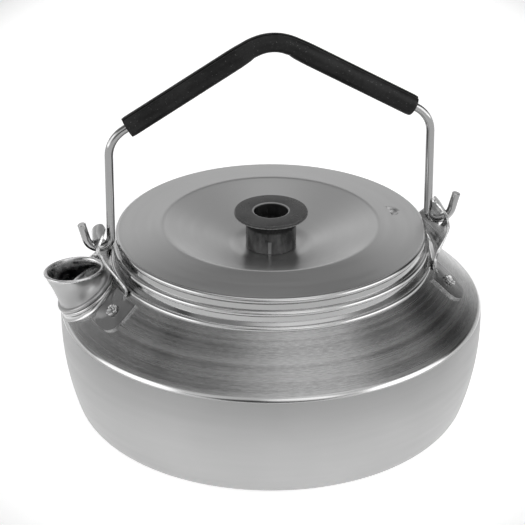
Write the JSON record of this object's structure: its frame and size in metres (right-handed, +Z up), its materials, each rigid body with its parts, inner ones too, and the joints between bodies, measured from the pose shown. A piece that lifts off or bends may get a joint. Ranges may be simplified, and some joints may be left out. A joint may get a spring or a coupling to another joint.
{
  "type": "camping kettle",
  "caption": "Squat spun-aluminium camping kettle with a flared spout, a lift-off lid with a hollow black knob, and a folding wire bail with a black sleeve.",
  "frame": {"origin": "centre of the flat base, on the ground", "axes": "+Z up along the pot's axis, -X toward the spout, the bail turns about a line along X"},
  "size_m": [0.1563, 0.1502, 0.1443],
  "materials": {
    "pot_aluminium": "satin, brushed on the shoulder",
    "lid_aluminium": "satin",
    "rivet_aluminium": "bright",
    "stainless": "polished",
    "knob_black": "moulded black, slightly scuffed",
    "sleeve_black": "matt black"
  },
  "bodies": {
    "kettle": {"body": "pot_aluminium", "spout": "pot_aluminium", "spout_side_ear": "stainless", "far_side_ear": "stainless", "rivet_spout_front": "rivet_aluminium", "rivet_spout_back": "rivet_aluminium", "rivet_far_front": "rivet_aluminium", "rivet_far_back": "rivet_aluminium"},
    "lid": {"lid": "lid_aluminium", "lid_knob": "knob_black", "knob_retainer": "stainless"},
    "bail": {"bail_wire": "stainless", "bail_grip": "sleeve_black"}
  },
  "joints": [
    {"name": "bail_fold", "type": "hinge", "parent": "kettle", "child": "bail", "pos_m": [0, 0, 0.06834], "axis": [1, 0, 0], "range_deg": [-98, 98]},
    {"name": "lid_lift", "type": "slide", "parent": "kettle", "child": "lid", "axis": [0, 0, 1], "range_m": [0, 0.012]}
  ]
}
